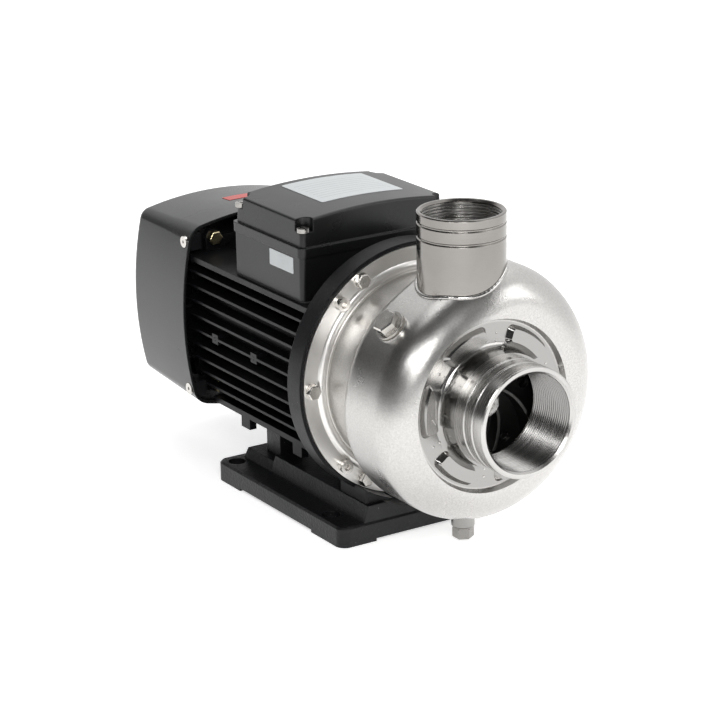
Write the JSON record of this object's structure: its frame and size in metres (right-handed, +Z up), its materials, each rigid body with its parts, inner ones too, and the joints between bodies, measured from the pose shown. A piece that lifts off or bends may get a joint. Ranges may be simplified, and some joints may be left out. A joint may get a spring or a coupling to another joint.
{
  "type": "booster pump",
  "caption": "end-suction centrifugal pump: stainless volute casing with threaded suction and discharge, close-coupled to a finned electric motor on a foot plate",
  "frame": {"origin": "centre of the foot plate's four-hole pattern, on the face it stands on", "axes": "+X along the shaft towards the suction port, +Z up along the discharge port, +Y to the side of the cable gland"},
  "size_m": [0.453, 0.1972, 0.2576],
  "materials": {
    "casing_steel": "satin, bead blasted",
    "polished_steel": "polished",
    "screw_steel": "bright",
    "shaft_steel": "ground",
    "black_cast": "satin black enamel on cast iron",
    "black_frame": "satin black enamel on cast aluminium",
    "black_plastic": "fine texture",
    "fan_plastic": "moulded",
    "seal_rubber": "matte",
    "seal_carbon": "lapped carbon",
    "copper_winding": "enamelled copper",
    "core_steel": "laminated",
    "ring_aluminium": "cast",
    "yellow_zinc": "yellow zinc plate",
    "brass_stud": "turned",
    "cage_plastic": "moulded",
    "white_plastic": "smooth"
  },
  "bodies": {
    "body": {"pump_casing": "casing_steel", "casing_cover": "casing_steel", "suction_collar": "polished_steel", "discharge_tube": "polished_steel", "priming_boss": "polished_steel", "drain_boss": "polished_steel", "flange_hex_screws": "screw_steel", "flange_washers": "screw_steel", "flange_socket_screws": "screw_steel", "frame_screws": "screw_steel", "base_screws": "screw_steel", "fan_cover_screws": "screw_steel", "lid_screws": "screw_steel", "box_screws": "screw_steel", "capacitor_clamp": "screw_steel", "front_bearing_outer": "shaft_steel", "rear_bearing_outer": "shaft_steel", "motor_bracket": "black_cast", "base_plate": "black_cast", "rear_support": "black_cast", "rear_shield": "black_cast", "motor_frame": "black_frame", "fan_cover": "black_plastic", "terminal_box": "black_plastic", "terminal_lid": "black_plastic", "gland_body": "black_plastic", "gland_nut": "black_plastic", "terminal_block": "black_plastic", "seal_cord": "seal_rubber", "priming_washer": "seal_rubber", "drain_washer": "seal_rubber", "box_gasket": "seal_rubber", "gland_seal": "seal_rubber", "seal_seat": "seal_carbon", "stator_windings": "copper_winding", "stator_core": "core_steel", "shield_bolts": "yellow_zinc", "terminal_studs": "brass_stud", "capacitor": "white_plastic"},
    "rotor": {"motor_shaft": "shaft_steel", "rotor_core": "core_steel", "rotor_end_rings": "ring_aluminium", "impeller": "polished_steel", "impeller_key": "screw_steel", "impeller_washer": "screw_steel", "impeller_screw": "screw_steel", "seal_head": "seal_carbon", "seal_spring": "screw_steel", "slinger": "seal_rubber", "front_bearing_inner": "shaft_steel", "rear_bearing_inner": "shaft_steel", "cooling_fan": "fan_plastic", "fan_clip": "screw_steel"},
    "front_cage": {"front_bearing_cage": "cage_plastic", "front_bearing_balls": "shaft_steel"},
    "rear_cage": {"rear_bearing_cage": "cage_plastic", "rear_bearing_balls": "shaft_steel"},
    "priming_plug": {"priming_plug": "screw_steel"},
    "drain_plug": {"drain_plug": "screw_steel"}
  },
  "joints": [
    {"name": "shaft_spin", "type": "hinge", "parent": "body", "child": "rotor", "pos_m": [0, 0, 0.12], "axis": [1, 0, 0], "continuous": true},
    {"name": "front_cage_spin", "type": "hinge", "parent": "body", "child": "front_cage", "pos_m": [0, 0, 0.12], "axis": [1, 0, 0], "continuous": true},
    {"name": "rear_cage_spin", "type": "hinge", "parent": "body", "child": "rear_cage", "pos_m": [0, 0, 0.12], "axis": [1, 0, 0], "continuous": true},
    {"name": "priming_plug_out", "type": "slide", "parent": "body", "child": "priming_plug", "axis": [0, -0.7071, 0.7071], "range_m": [0, 0.012]},
    {"name": "drain_plug_out", "type": "slide", "parent": "body", "child": "drain_plug", "axis": [0, 0, -1], "range_m": [0, 0.006]}
  ],
  "couplings": [
    {"joint": "front_cage_spin", "follows": "shaft_spin", "ratio": 0.3815},
    {"joint": "rear_cage_spin", "follows": "shaft_spin", "ratio": 0.3818}
  ]
}
